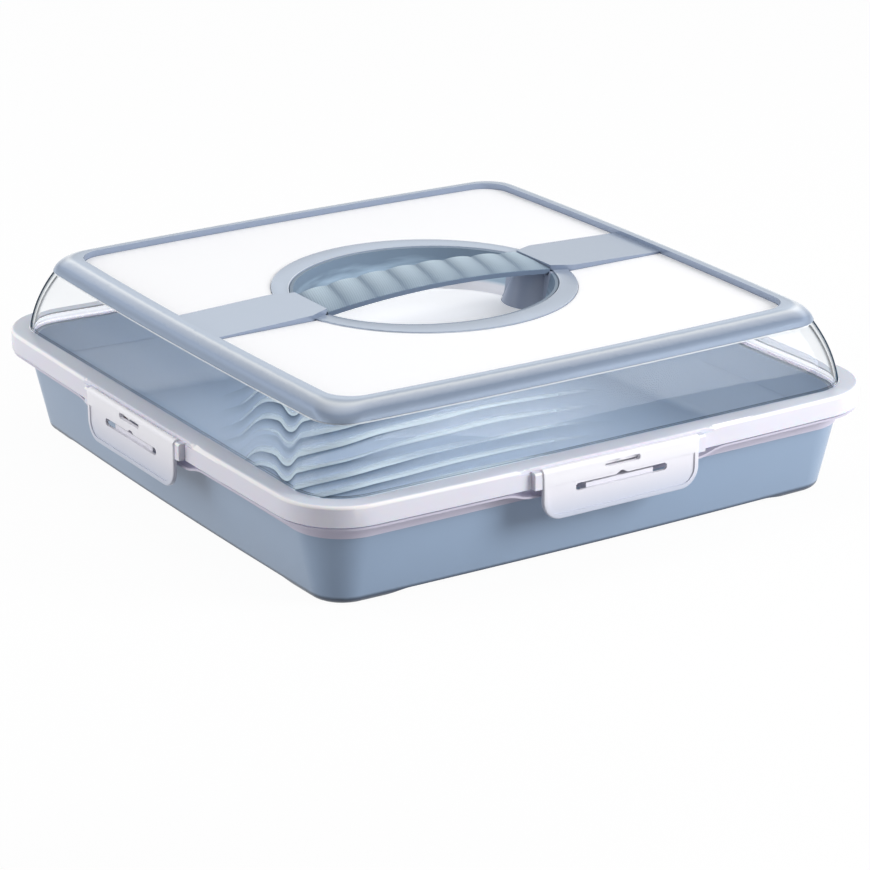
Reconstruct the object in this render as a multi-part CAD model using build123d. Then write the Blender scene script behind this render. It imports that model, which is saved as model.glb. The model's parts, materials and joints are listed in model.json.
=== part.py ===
from build123d import *
import math
import os

# Square cake carrier: a tray under a clear hood, held by four hinged latches, with a sunk handle.
# Frame: +Z up, origin on the table under the middle of the carrier, +X and -Y towards the sides
# that are called right and front. Sizes are in millimetres.

# Plan: half sizes of the hood's foot, which every other outline is offset from.
foot_half_x = 167.8
foot_half_y = 171.4

# Outlines: distance inside the hood's foot, corner radius and how far the sides bow out.
foot_corner = 26.8
foot_bow = 0.3
shoulder_inset = 13.9
shoulder_corner = 18.6
shoulder_bow = 2.9
bead_inset = 26.8
bead_corner = 16.6
bead_bow = 3.3
skirt_outset = 9.4
skirt_corner = 36.2
skirt_bow = 2.9
collar_corner = 28.1
bottom_inset = 10.0
bottom_corner = 18.0
bottom_bow = 3.0

# Heights above the table.
feet_height = 2.6
collar_bottom_z = 39.0
skirt_bottom_z = 49.3
ring_top_z = 60.4
shoulder_z = 94.0
bead_top_z = 102.2
panel_top_z = 98.7

# Tray: walls, floor, the neck that the collar sits on, and the corner feet.
tray_wall = 2.2
floor_thick = 2.4
bottom_round = 4.5
inner_round = 5.0
neck_depth = 1.5
collar_proud = 0.8
tray_flange_reach = 3.4
tray_flange_thick = 2.0
foot_length = 43.0
foot_ramp = 14.0
foot_ease = 30.0

# Collar: the lip under the lid's skirt, which dips beside each latch, and the lug that each
# latch pulls against.
lip_gap = 1.0
lip_thick = 1.2
lip_setback = 1.0
lip_dip = 3.5
dip_half = 50.0
dip_ease = 20.0
lug_thick = 1.7
lug_half = 27.0
lug_ease = 8.0
lug_setback = 3.1
lug_bead_half = 25.0
lug_bead_width = 3.7
lug_bead_drop = 2.1
lug_ramp = 2.0

# Lid ring: a flat deck round the hood's foot and a skirt over the tray's rim.
deck_thick = 2.6
skirt_wall = 2.0
skirt_round = 2.1
recess_depth = 4.2
recess_ease = 1.5
deck_notch = 1.1
notch_ease = 14.0

# Hood.
hood_wall = 2.0
hood_bulge = 1.8
hood_steps = 4
hood_flange_reach = 4.0
hood_flange_thick = 2.0
hood_shelf = 9.0

# Top cover: rolled shoulder, bead, cross bands and the ring round the handle well.
cover_overhang = 0.5
shoulder_turn = 71.0
shoulder_width = 11.5
shoulder_steps = 4
cover_seat = 6.0
deck_plate = 1.8
panel_thick = 0.9
ring_width = 8.9
ring_rise = 0.8
ring_inner_round = 1.0
ring_outer_round = 0.5
band_half = 22.0
band_end_half = 16.8
band_overhang = 3.2
band_low_rise = 1.1
band_high_rise = 3.6
pocket_depth = 2.3

# Handle well.
well_half_x = 75.6
well_half_y = 69.9
well_wall = 1.8
well_depth = 22.2
well_draft = 5.0
well_lip_drop = 0.6
well_flange_reach = 4.0
well_flange_thick = 1.7
well_round = 4.0
post_inset = 0.6
post_foot_radius = 20.0
post_top_radius = 11.5
inlay_thick = 0.8

# Handle: an arched core with a tongue and a pin at each end, and the soft pad on top of it.
handle_half = 17.0
handle_rise = 5.7
arch_rise = 4.6
core_thick = 2.4
tongue_length = 6.8
tongue_half = 13.0
pad_crown = 1.9
pad_edge = 0.5
pin_inset = 3.9
pin_radius = 2.4
pin_length = 9.0

# Latches: a flap turning on two short pins, with a hook behind its long slot.
latch_half = 48.5
latch_bottom_z = 31.5
latch_corner = 11.0
latch_inner = 1.8
latch_round = 0.8
latch_field = 1.5
latch_rim_width = 2.6
latch_step_z = 50.3
hinge_out = 1.6
hinge_z = 57.0
barrel_radius = 2.4
hinge_pin_radius = 1.0
hinge_pin_length = 4.0
ear_thick = 4.4
ear_radius = 1.5
short_slot_half = 11.0
short_slot_height = 3.2
nib_half = 2.2
nib_drop = 1.3
long_slot_half = 28.5
long_slot_bottom = 44.4
long_slot_height = 4.0
hook_half = 21.0
hook_root_z = 42.0
hook_catch = 1.0
hook_back = 0.5
notch_half = 4.0
notch_rise = 1.9

# Clearances.
fit_gap = 0.2
run_gap = 0.07
part_gap = 0.3

# Heights and places that follow from the ones above.
deck_under_z = ring_top_z - deck_thick
hood_foot_z = ring_top_z
hood_flange_z = deck_under_z - fit_gap
hood_base_z = hood_flange_z - hood_flange_thick
tray_top_z = hood_base_z - part_gap
tray_flange_z = tray_top_z - tray_flange_thick
floor_z = feet_height + floor_thick
lip_top_z = skirt_bottom_z - lip_gap
lip_under_z = lip_top_z - lip_thick
lug_top_z = skirt_bottom_z - part_gap
panel_seat_z = panel_top_z - panel_thick
plate_under_z = panel_seat_z - deck_plate
ring_face_z = panel_top_z + ring_rise
well_floor_z = panel_top_z - well_depth
well_lip_z = ring_face_z - well_lip_drop
crest_z = panel_top_z + handle_rise
ring_radius = well_half_x + ring_width
band_end_x = well_half_x - band_overhang
post_x = well_half_x - post_inset
pin_x = band_end_x - pin_inset
pad_end_x = band_end_x - 2 * fit_gap
tongue_end_x = band_end_x + tongue_length
arch_radius = (band_end_x ** 2 + arch_rise ** 2) / (2 * arch_rise)
latch_outer = hinge_out + barrel_radius
recess_half = latch_half + part_gap + ear_thick
lug_edge_z = lug_top_z - lug_bead_drop
hook_tip_out = -lug_setback - hook_catch
hook_top_z = lug_edge_z - part_gap
long_slot_top = long_slot_bottom + long_slot_height
collar_back = skirt_outset + skirt_bow - foot_bow
side_reach_x = foot_half_x + skirt_outset + skirt_bow
side_reach_y = foot_half_y + skirt_outset + skirt_bow
sides = {
    "front": (0, side_reach_y),
    "right": (90, side_reach_x),
    "back": (180, side_reach_y),
    "left": (270, side_reach_x),
}
side_section = Plane(origin=(0, 0, 0), x_dir=(0, -1, 0), z_dir=(-1, 0, 0))


def outline(inset, corner, bow, z):
    """Face at height z: a square with filleted corners and sides that bow out."""
    half_x = foot_half_x - inset
    half_y = foot_half_y - inset
    edges = [
        ThreePointArc((half_x, -half_y), (half_x + bow, 0), (half_x, half_y)),
        ThreePointArc((half_x, half_y), (0, half_y + bow), (-half_x, half_y)),
        ThreePointArc((-half_x, half_y), (-half_x - bow, 0), (-half_x, -half_y)),
        ThreePointArc((-half_x, -half_y), (0, -half_y - bow), (half_x, -half_y)),
    ]
    face = make_face(Curve() + edges)
    return Pos(0, 0, z) * fillet(face.vertices(), corner)


def slab(inset, corner, bow, z_low, z_high):
    """Straight-sided block on such an outline."""
    return extrude(outline(inset, corner, bow, z_low), z_high - z_low)


def block(x_low, x_high, y_low, y_high, z_low, z_high):
    centre = Pos((x_low + x_high) / 2, (y_low + y_high) / 2, (z_low + z_high) / 2)
    return centre * Box(x_high - x_low, y_high - y_low, z_high - z_low)


def arch_under(x):
    """Height of the handle core's underside at a distance x from the middle."""
    return crest_z - core_thick - arch_radius + math.sqrt(arch_radius ** 2 - x ** 2)


def oval(half_x, half_y, z):
    return Pos(0, 0, z) * make_face(Ellipse(half_x, half_y).edges())


def lowest_edges(solid):
    return solid.faces().sort_by(Axis.Z)[0].edges()


def at_side(shape, side):
    """Puts a shape built in the front side's own frame, with Y zero at the skirt, on a side."""
    turn, reach = sides[side]
    return Rot(0, 0, turn) * Pos(0, -reach, 0) * shape


def bar_along_side(half, *points):
    """Prism along a side from its section, whose points are (outward, height)."""
    return extrude(side_section * make_face(Polyline(*points, close=True)), half, both=True)


def eased_plan(half, ease, y_base, y_tip):
    """Plan on the front side that swells from the line y_base to y_tip by two arcs at each end."""
    ends = half + ease
    edges = [Line((-half, y_tip), (half, y_tip)), Line((-ends, y_base), (ends, y_base))]
    for end in (-1, 1):
        middle = (end * (half + ease / 2), (y_base + y_tip) / 2)
        edges.append(TangentArc((end * ends, y_base), middle, tangent=(-end, 0)))
        edges.append(TangentArc((end * half, y_tip), middle, tangent=(end, 0)))
    return make_face(Curve() + edges)


def make_base_tray():
    """Open tray with drafted walls, a neck for the collar, a top flange and four corner feet."""
    body = loft([
        outline(bottom_inset, bottom_corner, bottom_bow, 0),
        outline(collar_proud, collar_corner - collar_proud, foot_bow, collar_bottom_z),
    ])
    body = fillet(lowest_edges(body), bottom_round)
    neck_inset = collar_proud + neck_depth
    body += slab(neck_inset, collar_corner - neck_inset, foot_bow, collar_bottom_z, tray_top_z)
    body += slab(-tray_flange_reach, collar_corner + tray_flange_reach, foot_bow,
                 tray_flange_z, tray_top_z)
    draft = (bottom_inset - collar_proud) / collar_bottom_z
    ledge_z = collar_bottom_z - tray_wall
    ledge_inset = collar_proud + tray_wall * (1 + draft)
    throat_inset = neck_inset + tray_wall
    hollow = loft([
        outline(bottom_inset + tray_wall - draft * floor_z, bottom_corner - tray_wall,
                bottom_bow, floor_z),
        outline(ledge_inset, collar_corner - ledge_inset, foot_bow, ledge_z),
    ])
    hollow = fillet(lowest_edges(hollow), inner_round)
    hollow += slab(throat_inset, collar_corner - throat_inset, foot_bow, ledge_z, tray_top_z)
    body -= hollow
    for half, turn in ((foot_half_x, 0), (foot_half_y, 90)):
        open_half = half - bottom_inset - foot_length
        arch = make_face(Polyline(
            (-open_half - foot_ramp, 0), (-open_half, feet_height),
            (open_half, feet_height), (open_half + foot_ramp, 0), close=True))
        arch = fillet(arch.vertices().sort_by(Axis.Y)[-2:], foot_ease)
        body -= Rot(0, 0, turn) * extrude(Rot(90, 0, 0) * arch, 2 * half, both=True)
    return body


def make_lip():
    """Lip just inside the skirt's face, dipping in an S to each latch and cut back at its hook."""
    edge_inset = lip_setback - skirt_outset
    edge_corner = skirt_corner - lip_setback
    lip = slab(edge_inset, edge_corner, skirt_bow, lip_under_z, lip_top_z)
    zone = slab(edge_inset, edge_corner, skirt_bow, lip_under_z - lip_dip, lip_under_z)
    sag = upright(eased_plan(dip_half, dip_ease, lip_under_z, lip_under_z - lip_dip),
                  -collar_back, 0)
    dip = upright(eased_plan(dip_half, dip_ease, lip_top_z, lip_top_z - lip_dip), -collar_back, 0)
    cut = lug_half + lug_ease
    dip += block(-cut, cut, 0, lug_setback + lug_bead_width + part_gap,
                 lip_under_z - lip_dip, lip_top_z)
    for side in sides:
        lip += at_side(sag, side) & zone
    for side in sides:
        lip -= at_side(dip, side)
    return lip


def make_base_rim():
    """Collar round the tray's neck: wall, lip, and one lug with a ramped bead for each latch."""
    rim = slab(0, collar_corner, foot_bow, collar_bottom_z, tray_flange_z - fit_gap)
    rim += make_lip()
    lug = extrude(Pos(0, 0, lug_top_z - lug_thick) * eased_plan(
        lug_half, lug_ease, collar_back + neck_depth / 2, lug_setback), lug_thick)
    bead_low_z = lug_edge_z - lug_ramp
    bead_back = lug_setback + lug_bead_width
    lug += bar_along_side(
        lug_bead_half, (-lug_setback, lug_top_z), (-lug_setback, lug_edge_z),
        (-lug_setback - lug_ramp, bead_low_z), (-bead_back, bead_low_z), (-bead_back, lug_top_z))
    for side in sides:
        rim += at_side(lug, side)
    bore_inset = collar_proud + neck_depth - fit_gap
    return rim - slab(bore_inset, collar_corner - bore_inset, foot_bow,
                      collar_bottom_z, tray_flange_z)


def make_latch_ears():
    """The two flat ears that stand in the skirt's recess, each with its short hinge pin."""
    ears = Part()
    for end in (-1, 1):
        near = latch_half + part_gap
        far = near + ear_thick
        x_low, x_high = sorted((end * near, end * far))
        ears += block(x_low, x_high, -hinge_out, recess_depth + skirt_wall / 2,
                      skirt_bottom_z, hinge_z + ear_radius)
        ears += block(x_low, x_high, -hinge_out - ear_radius, -hinge_out,
                      skirt_bottom_z, hinge_z)
        disc = Rot(0, 90, 0) * Cylinder(ear_radius, ear_thick)
        ears += Pos((x_low + x_high) / 2, -hinge_out, hinge_z) * disc
        pin = Rot(0, 90, 0) * Cylinder(hinge_pin_radius, hinge_pin_length + ear_thick)
        ears += Pos(end * (far + near - hinge_pin_length) / 2, -hinge_out, hinge_z) * pin
    return ears


def make_lid_ring():
    """Deck and skirt round the hood's foot, set back at each latch, with the latch ears."""
    ring = slab(-skirt_outset, skirt_corner, skirt_bow, skirt_bottom_z, ring_top_z)
    ring = fillet(ring.faces().sort_by(Axis.Z)[-1].edges(), skirt_round)
    ring -= slab(skirt_wall - skirt_outset, skirt_corner - skirt_wall, skirt_bow,
                 skirt_bottom_z, deck_under_z)
    ring -= slab(-fit_gap, foot_corner + fit_gap, foot_bow, deck_under_z, ring_top_z)
    ends = recess_half + notch_ease
    backing = block(-recess_half - skirt_wall, recess_half + skirt_wall, skirt_wall / 2,
                    recess_depth + skirt_wall, skirt_bottom_z, deck_under_z)
    recess = extrude(Pos(0, 0, skirt_bottom_z) * eased_plan(
        recess_half, recess_ease, 0, recess_depth), deck_under_z - skirt_bottom_z)
    notch = extrude(Pos(0, 0, deck_under_z) * eased_plan(
        recess_half, notch_ease, 0, deck_notch), deck_thick)
    outside = block(-ends, ends, -skirt_wall, 0, skirt_bottom_z, ring_top_z)
    for side in sides:
        ring += at_side(backing, side)
        ring -= at_side(recess + notch + outside, side)
        ring += at_side(make_latch_ears(), side)
    return ring


def hood_section(share, wall, drop):
    """Outline of the hood's wall, from share 0 at the shoulder to 1 at the foot."""
    lean = math.atan2(shoulder_z - hood_foot_z, shoulder_inset)
    swell = 4 * hood_bulge * share * (1 - share)
    inset = shoulder_inset * (1 - share) - swell * math.sin(lean) + wall
    z = shoulder_z + (hood_foot_z - shoulder_z) * share + swell * math.cos(lean)
    corner = shoulder_corner + (foot_corner - shoulder_corner) * share
    bow = shoulder_bow + (foot_bow - shoulder_bow) * share
    return outline(inset, corner - wall, bow, z - drop * (1 - share))


def make_hood():
    """Clear hood: bulging walls, a foot flange under the ring's deck and a shelf at the top."""
    shares = [step / hood_steps for step in range(hood_steps + 1)]
    hood = loft([hood_section(share, 0, 0) for share in reversed(shares)])
    hood += slab(0, foot_corner, foot_bow, hood_base_z, hood_foot_z)
    hood += slab(-hood_flange_reach, foot_corner + hood_flange_reach, foot_bow,
                 hood_base_z, hood_flange_z)
    hood -= loft([hood_section(share, hood_wall, hood_wall) for share in reversed(shares)])
    hood -= slab(hood_wall, foot_corner - hood_wall, foot_bow, hood_base_z, hood_foot_z)
    mouth = shoulder_inset + hood_shelf
    return hood - slab(mouth, shoulder_corner - hood_shelf / 2, shoulder_bow,
                       shoulder_z - 2 * hood_wall, shoulder_z)


def make_cover_shell():
    """Rolled shoulder and bead round a recessed deck plate."""
    rise = bead_top_z - shoulder_z
    start = shoulder_inset - cover_overhang
    turn = math.radians(shoulder_turn)
    sections = []
    for step in range(shoulder_steps + 1):
        angle = turn * (1 - step / shoulder_steps)
        share_in = 1 - math.sin(angle) / math.sin(turn)
        share_up = 1 - (1 - math.cos(angle)) / (1 - math.cos(turn))
        inset = start + shoulder_width * share_in
        blend = (inset - start) / (bead_inset - start)
        sections.append(outline(
            inset, shoulder_corner + (bead_corner - shoulder_corner) * blend,
            shoulder_bow + (bead_bow - shoulder_bow) * blend, shoulder_z + rise * share_up))
    shell = loft(sections)
    shell -= slab(bead_inset, bead_corner, bead_bow, panel_seat_z, bead_top_z)
    seat = start + cover_seat
    return shell - slab(seat, shoulder_corner - cover_seat, shoulder_bow, shoulder_z, plate_under_z)


def make_cross_band():
    """Right-hand band from the bead to the handle, rising towards the handle, with its pocket."""
    outer_x = foot_half_x - bead_inset + bead_bow + fit_gap
    plan = make_face(Polyline(
        (outer_x, -band_half), (outer_x, band_half), (ring_radius, band_half),
        (band_end_x, band_end_half), (band_end_x, -band_end_half), (ring_radius, -band_half),
        close=True))
    band = extrude(Pos(0, 0, panel_seat_z) * plan, band_high_rise + panel_thick)
    slope = make_face(Polyline(
        (band_end_x, panel_seat_z), (outer_x, panel_seat_z), (outer_x, panel_top_z + band_low_rise),
        (band_end_x, panel_top_z + band_high_rise), close=True))
    return band & extrude(Rot(90, 0, 0) * slope, band_half, both=True)


def make_well_ring():
    """Flat ring round the handle well, with both of its upper edges rounded."""
    ring = Pos(0, 0, panel_seat_z) * extrude(Circle(ring_radius), ring_face_z - panel_seat_z)
    ring -= extrude(oval(well_half_x, well_half_y, panel_seat_z), ring_face_z - panel_seat_z)
    inner, outer = ring.faces().sort_by(Axis.Z)[-1].edges().sort_by(SortBy.LENGTH)
    return fillet(outer, ring_outer_round).fillet(ring_inner_round, [inner])


def make_top_cover():
    """Satin cover frame: shoulder, bead, deck plate, cross bands and the ring round the well."""
    cover = make_cover_shell() + make_well_ring()
    for turn in (0, 180):
        cover += Rot(0, 0, turn) * make_cross_band()
    hole = extrude(oval(well_half_x, well_half_y, plate_under_z), ring_face_z - plate_under_z)
    cover -= hole
    for end in (-1, 1):
        x_low, x_high = sorted((end * (band_end_x - part_gap), end * (tongue_end_x + part_gap)))
        cover -= block(x_low, x_high, -tongue_half - part_gap, tongue_half + part_gap,
                       plate_under_z, panel_top_z + band_high_rise - pocket_depth)
    return cover


def make_panels():
    """Front and back label panels, lying in the cover between the bead, the bands and the ring."""
    sheet = slab(bead_inset + fit_gap, bead_corner - fit_gap, bead_bow, panel_seat_z, panel_top_z)
    sheet -= Pos(0, 0, panel_seat_z) * extrude(Circle(ring_radius + fit_gap), panel_thick)
    sheet -= block(-foot_half_x, foot_half_x, -band_half - fit_gap, band_half + fit_gap,
                   panel_seat_z, panel_top_z)
    front, back = sheet.solids().sort_by(Axis.Y)
    return front, back


def well_solid(wall, z_low, z_high):
    """Drafted oval plug of the handle well, `wall` inside its outer face."""
    span = well_lip_z - well_floor_z
    low = well_draft * (well_lip_z - z_low) / span
    high = well_draft * (well_lip_z - z_high) / span
    inset = fit_gap + wall
    return loft([
        oval(well_half_x - inset - low, well_half_y - inset - low, z_low),
        oval(well_half_x - inset - high, well_half_y - inset - high, z_high),
    ])


def make_handle_well():
    """Oval cup under the cover's ring, with a flared post at each end that carries the handle."""
    cup = well_solid(0, well_floor_z - well_wall, well_lip_z)
    flange_top_z = plate_under_z - part_gap / 2
    cup += extrude(oval(well_half_x + well_flange_reach, well_half_y + well_flange_reach,
                        flange_top_z - well_flange_thick), well_flange_thick)
    hollow = fillet(lowest_edges(well_solid(well_wall, well_floor_z, well_lip_z)), well_round)
    post_top_z = arch_under(band_end_x) - part_gap
    notch_z = arch_under(tongue_end_x) - part_gap
    cone = Cone(post_foot_radius, post_top_radius, post_top_z - well_floor_z,
                align=(Align.CENTER, Align.CENTER, Align.MIN))
    cup -= hollow
    for end in (-1, 1):
        post = Pos(end * post_x, 0, well_floor_z) * cone
        cup += post & well_solid(well_wall / 2, well_floor_z - well_wall / 2, well_lip_z)
        x_low, x_high = sorted((end * (pin_x + pin_radius), end * (well_half_x + well_wall)))
        cup -= block(x_low, x_high, -handle_half - part_gap, handle_half + part_gap,
                     notch_z, well_lip_z)
        bore = Cylinder(pin_radius + run_gap, pin_length + part_gap,
                        align=(Align.CENTER, Align.CENTER, Align.MAX))
        cup -= Pos(end * pin_x, 0, post_top_z) * bore
    return cup


def make_well_floor():
    """White oval sheet on the floor of the well, cut round the two posts."""
    margin = fit_gap + well_wall + well_draft + well_round
    sheet = extrude(oval(well_half_x - margin, well_half_y - margin, well_floor_z), inlay_thick)
    for end in (-1, 1):
        hole = Pos(end * post_x, 0, well_floor_z + inlay_thick / 2)
        sheet -= hole * Cylinder(post_foot_radius + fit_gap, inlay_thick)
    return sheet


def arch(section, x_end):
    """Sweeps a section, drawn in the plane x = 0, along the handle's arch to x_end both ways."""
    centre_z = crest_z - arch_radius
    half_turn = math.degrees(math.asin(x_end / arch_radius))
    start = Pos(0, 0, centre_z) * Rot(0, -half_turn, 0) * Pos(0, 0, -centre_z) * section
    return revolve(start, Axis((0, 0, centre_z), (0, 1, 0)), 2 * half_turn)


def make_handle_core():
    """Arched bar with a narrower tongue and a locating pin at each end."""
    bar = Part()
    for half, x_end in ((handle_half, pad_end_x), (tongue_half, tongue_end_x)):
        section = Pos(0, crest_z - core_thick / 2) * Rectangle(2 * half, core_thick)
        bar += arch(Plane.YZ * section, x_end)
    pin_top_z = arch_under(pin_x) + core_thick / 2
    pin_end_z = arch_under(band_end_x) - pin_length
    pin = Cylinder(pin_radius, pin_top_z - pin_end_z,
                   align=(Align.CENTER, Align.CENTER, Align.MAX))
    for end in (-1, 1):
        bar += Pos(end * pin_x, 0, pin_top_z) * pin
    return bar


def make_grip_pad():
    """Soft crowned pad over the core, between the two bands."""
    section = make_face(Curve() + [
        Line((-handle_half, crest_z), (handle_half, crest_z)),
        Line((handle_half, crest_z), (handle_half, crest_z + pad_edge)),
        ThreePointArc((handle_half, crest_z + pad_edge), (0, crest_z + pad_crown),
                      (-handle_half, crest_z + pad_edge)),
        Line((-handle_half, crest_z + pad_edge), (-handle_half, crest_z)),
    ])
    return arch(Plane.YZ * section, pad_end_x)


def flap_plan(margin, top_z):
    """The flap seen from the front, `margin` inside its edge, with its lower corners rounded."""
    half = latch_half - margin
    low = latch_bottom_z + margin
    face = make_face(Polyline((-half, low), (half, low), (half, top_z), (-half, top_z),
                              close=True))
    return fillet(face.vertices().sort_by(Axis.Y)[:2], latch_corner - margin)


def upright(face, out_low, out_high):
    """Plate parallel to the front side, from a face drawn as (along, height)."""
    return extrude(Pos(0, -out_low, 0) * Rot(90, 0, 0) * face, out_high - out_low)


def slot_plan(half, z_low, z_high):
    face = make_face(Polyline((-half, z_low), (half, z_low), (half, z_high), (-half, z_high),
                              close=True))
    return fillet(face.vertices(), (z_high - z_low) / 2 - fit_gap)


def make_latch():
    """Flap of one latch, hanging shut on the front side."""
    flap = upright(flap_plan(0, hinge_z), latch_inner, latch_outer)
    flap = fillet(flap.faces().sort_by(Axis.Y)[0].edges().sort_by(Axis.Z)[:-1], latch_round)
    flap -= upright(flap_plan(latch_rim_width, latch_step_z), latch_inner + latch_field,
                    latch_outer)
    flap += Pos(0, -hinge_out, hinge_z) * Rot(0, 90, 0) * Cylinder(barrel_radius, 2 * latch_half)
    nib = make_face(Polyline((-nib_half, hinge_z), (nib_half, hinge_z), (0, hinge_z - nib_drop),
                             close=True))
    short_slot = slot_plan(short_slot_half, hinge_z - short_slot_height, hinge_z)
    flap -= upright(short_slot - nib, hinge_out, latch_outer)
    notch_low = long_slot_top - fit_gap
    notch = make_face(Polyline((-notch_half, notch_low), (notch_half, notch_low),
                               (0, long_slot_top + notch_rise), close=True))
    flap -= upright(slot_plan(long_slot_half, long_slot_bottom, long_slot_top) + notch,
                    0, latch_outer)
    root_out = latch_inner + hook_back
    neck_out = latch_inner - hook_back
    ramp = lug_ramp / 2
    flap += bar_along_side(
        hook_half, (root_out, hook_root_z), (root_out, long_slot_bottom),
        (neck_out, long_slot_bottom), (neck_out, hook_top_z),
        (hook_tip_out + ramp, hook_top_z), (hook_tip_out, hook_top_z - ramp),
        (hook_tip_out, hook_root_z + hook_back), (hook_tip_out + hook_back, hook_root_z))
    bore = Rot(0, 90, 0) * Cylinder(hinge_pin_radius + run_gap, hinge_pin_length + part_gap)
    bore_x = latch_half - (hinge_pin_length - part_gap) / 2
    for end in (-1, 1):
        flap -= Pos(end * bore_x, -hinge_out, hinge_z) * bore
    return flap


def write(node, shape):
    export_step(shape, os.path.join("parts", node + ".step"))


os.makedirs("parts", exist_ok=True)
front_panel, back_panel = make_panels()
write("base_tray", make_base_tray())
write("base_rim", make_base_rim())
write("lid_ring", make_lid_ring())
write("hood", make_hood())
write("top_cover", make_top_cover())
write("front_panel", front_panel)
write("back_panel", back_panel)
write("handle_well", make_handle_well())
write("well_floor", make_well_floor())
write("handle_core", make_handle_core())
write("grip_pad", make_grip_pad())
latch = make_latch()
for side in sides:
    write(side + "_latch", at_side(latch, side))
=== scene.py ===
import json
import math
import bmesh
import bpy
from mathutils import Matrix, Vector


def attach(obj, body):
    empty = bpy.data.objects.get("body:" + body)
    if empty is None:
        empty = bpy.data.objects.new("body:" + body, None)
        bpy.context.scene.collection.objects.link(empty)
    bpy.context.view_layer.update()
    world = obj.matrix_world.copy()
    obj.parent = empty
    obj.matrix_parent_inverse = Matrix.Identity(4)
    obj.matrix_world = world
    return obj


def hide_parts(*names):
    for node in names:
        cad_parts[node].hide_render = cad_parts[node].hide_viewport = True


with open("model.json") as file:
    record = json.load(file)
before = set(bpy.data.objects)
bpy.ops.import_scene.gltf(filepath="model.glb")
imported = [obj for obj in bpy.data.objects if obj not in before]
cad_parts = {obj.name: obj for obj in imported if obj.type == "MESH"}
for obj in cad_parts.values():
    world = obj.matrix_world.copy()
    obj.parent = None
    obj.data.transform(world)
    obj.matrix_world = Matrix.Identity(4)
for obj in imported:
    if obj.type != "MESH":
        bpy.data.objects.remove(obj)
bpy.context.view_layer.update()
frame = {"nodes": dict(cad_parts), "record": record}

# Cake carrier: moulded tray, clear hood under a satin cover, sunk handle and four flap latches.
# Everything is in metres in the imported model's frame; mm() turns a drawing size into metres.
owner = {}
for bodyName, bodyNodes in frame["record"]["behaviour"]["bodies"].items():
    for nodeName in bodyNodes:
        owner[nodeName] = bodyName


def mm(value):
    return value / 1000.0


def perMm(size):
    return 1000.0 / size    # scale of a texture whose features are about `size` mm wide


def perWave(pitch):
    return perMm(pitch) * math.tau / 20    # scale of a Wave texture that repeats every `pitch` mm


def toLinear(code):
    channels = [int(code[i:i + 2], 16) / 255.0 for i in (1, 3, 5)]
    linear = [c / 12.92 if c <= 0.04045 else ((c + 0.055) / 1.055) ** 2.4 for c in channels]
    return (*linear, 1.0)


# Adds a node with its settings and links; a colour ramp's stops are (position, colour code)
def addNode(tree, kind, settings=None, links=None):
    node = tree.nodes.new("ShaderNode" + kind)
    for key, value in (settings or {}).items():
        if key == "stops":
            elements = node.color_ramp.elements
            for end in (0, -1):
                elements[end].position = value[end][0]
                elements[end].color = toLinear(value[end][1])
            for place, code in value[1:-1]:
                elements.new(place).color = toLinear(code)
        elif isinstance(key, int) or key in node.inputs:
            node.inputs[key].default_value = value
        else:
            setattr(node, key, value)
    for key, source in (links or {}).items():
        tree.links.new(source, node.inputs[key])
    return node


def newMaterial(name):
    material = bpy.data.materials.new(name)
    material.use_nodes = True
    material.node_tree.nodes.clear()
    return material, material.node_tree


print("materials")


# 0 on faces that look away from the middle of the case, rising to `most` on its inner faces
def inwardShare(tree, coords, facing, most=1.0):
    level = addNode(tree, "VectorMath", {"operation": "MULTIPLY", 1: (1, 1, 0)},
                    {0: coords["Object"]})
    outward = addNode(tree, "VectorMath", {"operation": "NORMALIZE"},
                      {0: level.outputs["Vector"]})
    turned = addNode(tree, "VectorMath", {"operation": "DOT_PRODUCT"},
                     {0: outward.outputs["Vector"], 1: coords["Normal"]})
    return addNode(tree, "MapRange", {"From Min": facing[0], "From Max": facing[1],
                                      "To Max": most},
                   {"Value": turned.outputs["Value"]}).outputs["Result"]


# Fine grain that the mould leaves on a plastic face
def mouldGrain(tree, coords, look):
    grain = addNode(tree, "TexNoise", {"Scale": perMm(look["grain"]), "Detail": 1.0},
                    {"Vector": coords["Object"]})
    return addNode(tree, "Bump", {"Strength": look["grainStrength"],
                                  "Distance": mm(look["grainDepth"])},
                   {"Height": grain.outputs["Fac"]}).outputs["Normal"]


# Moulded polypropylene, blue-grey: soft gloss from a fine-grained mould, a little cloudy. Its
# inner walls are painted lighter, as painted light, the ledge at its foot duller and its lower
# edge painted darker, as painted shade where it meets the floor. `inwards` is how far a face is
# turned from the outside, between -1 and 1; heights are in mm.
trayLook = {"color": "#98ADC6", "cloud": "#92A7C1", "cloudSize": 60, "inner": "#A3B5CA",
            "inwards": (-0.15, -0.6), "ledge": "#8FA4BD", "ledgeHeights": (12, 6),
            "foot": "#46556A", "footShadeHeights": (4.6, 3.2), "grain": 0.7, "grainDepth": 0.02,
            "grainStrength": 0.2, "roughness": 0.3, "ior": 1.49}


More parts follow.
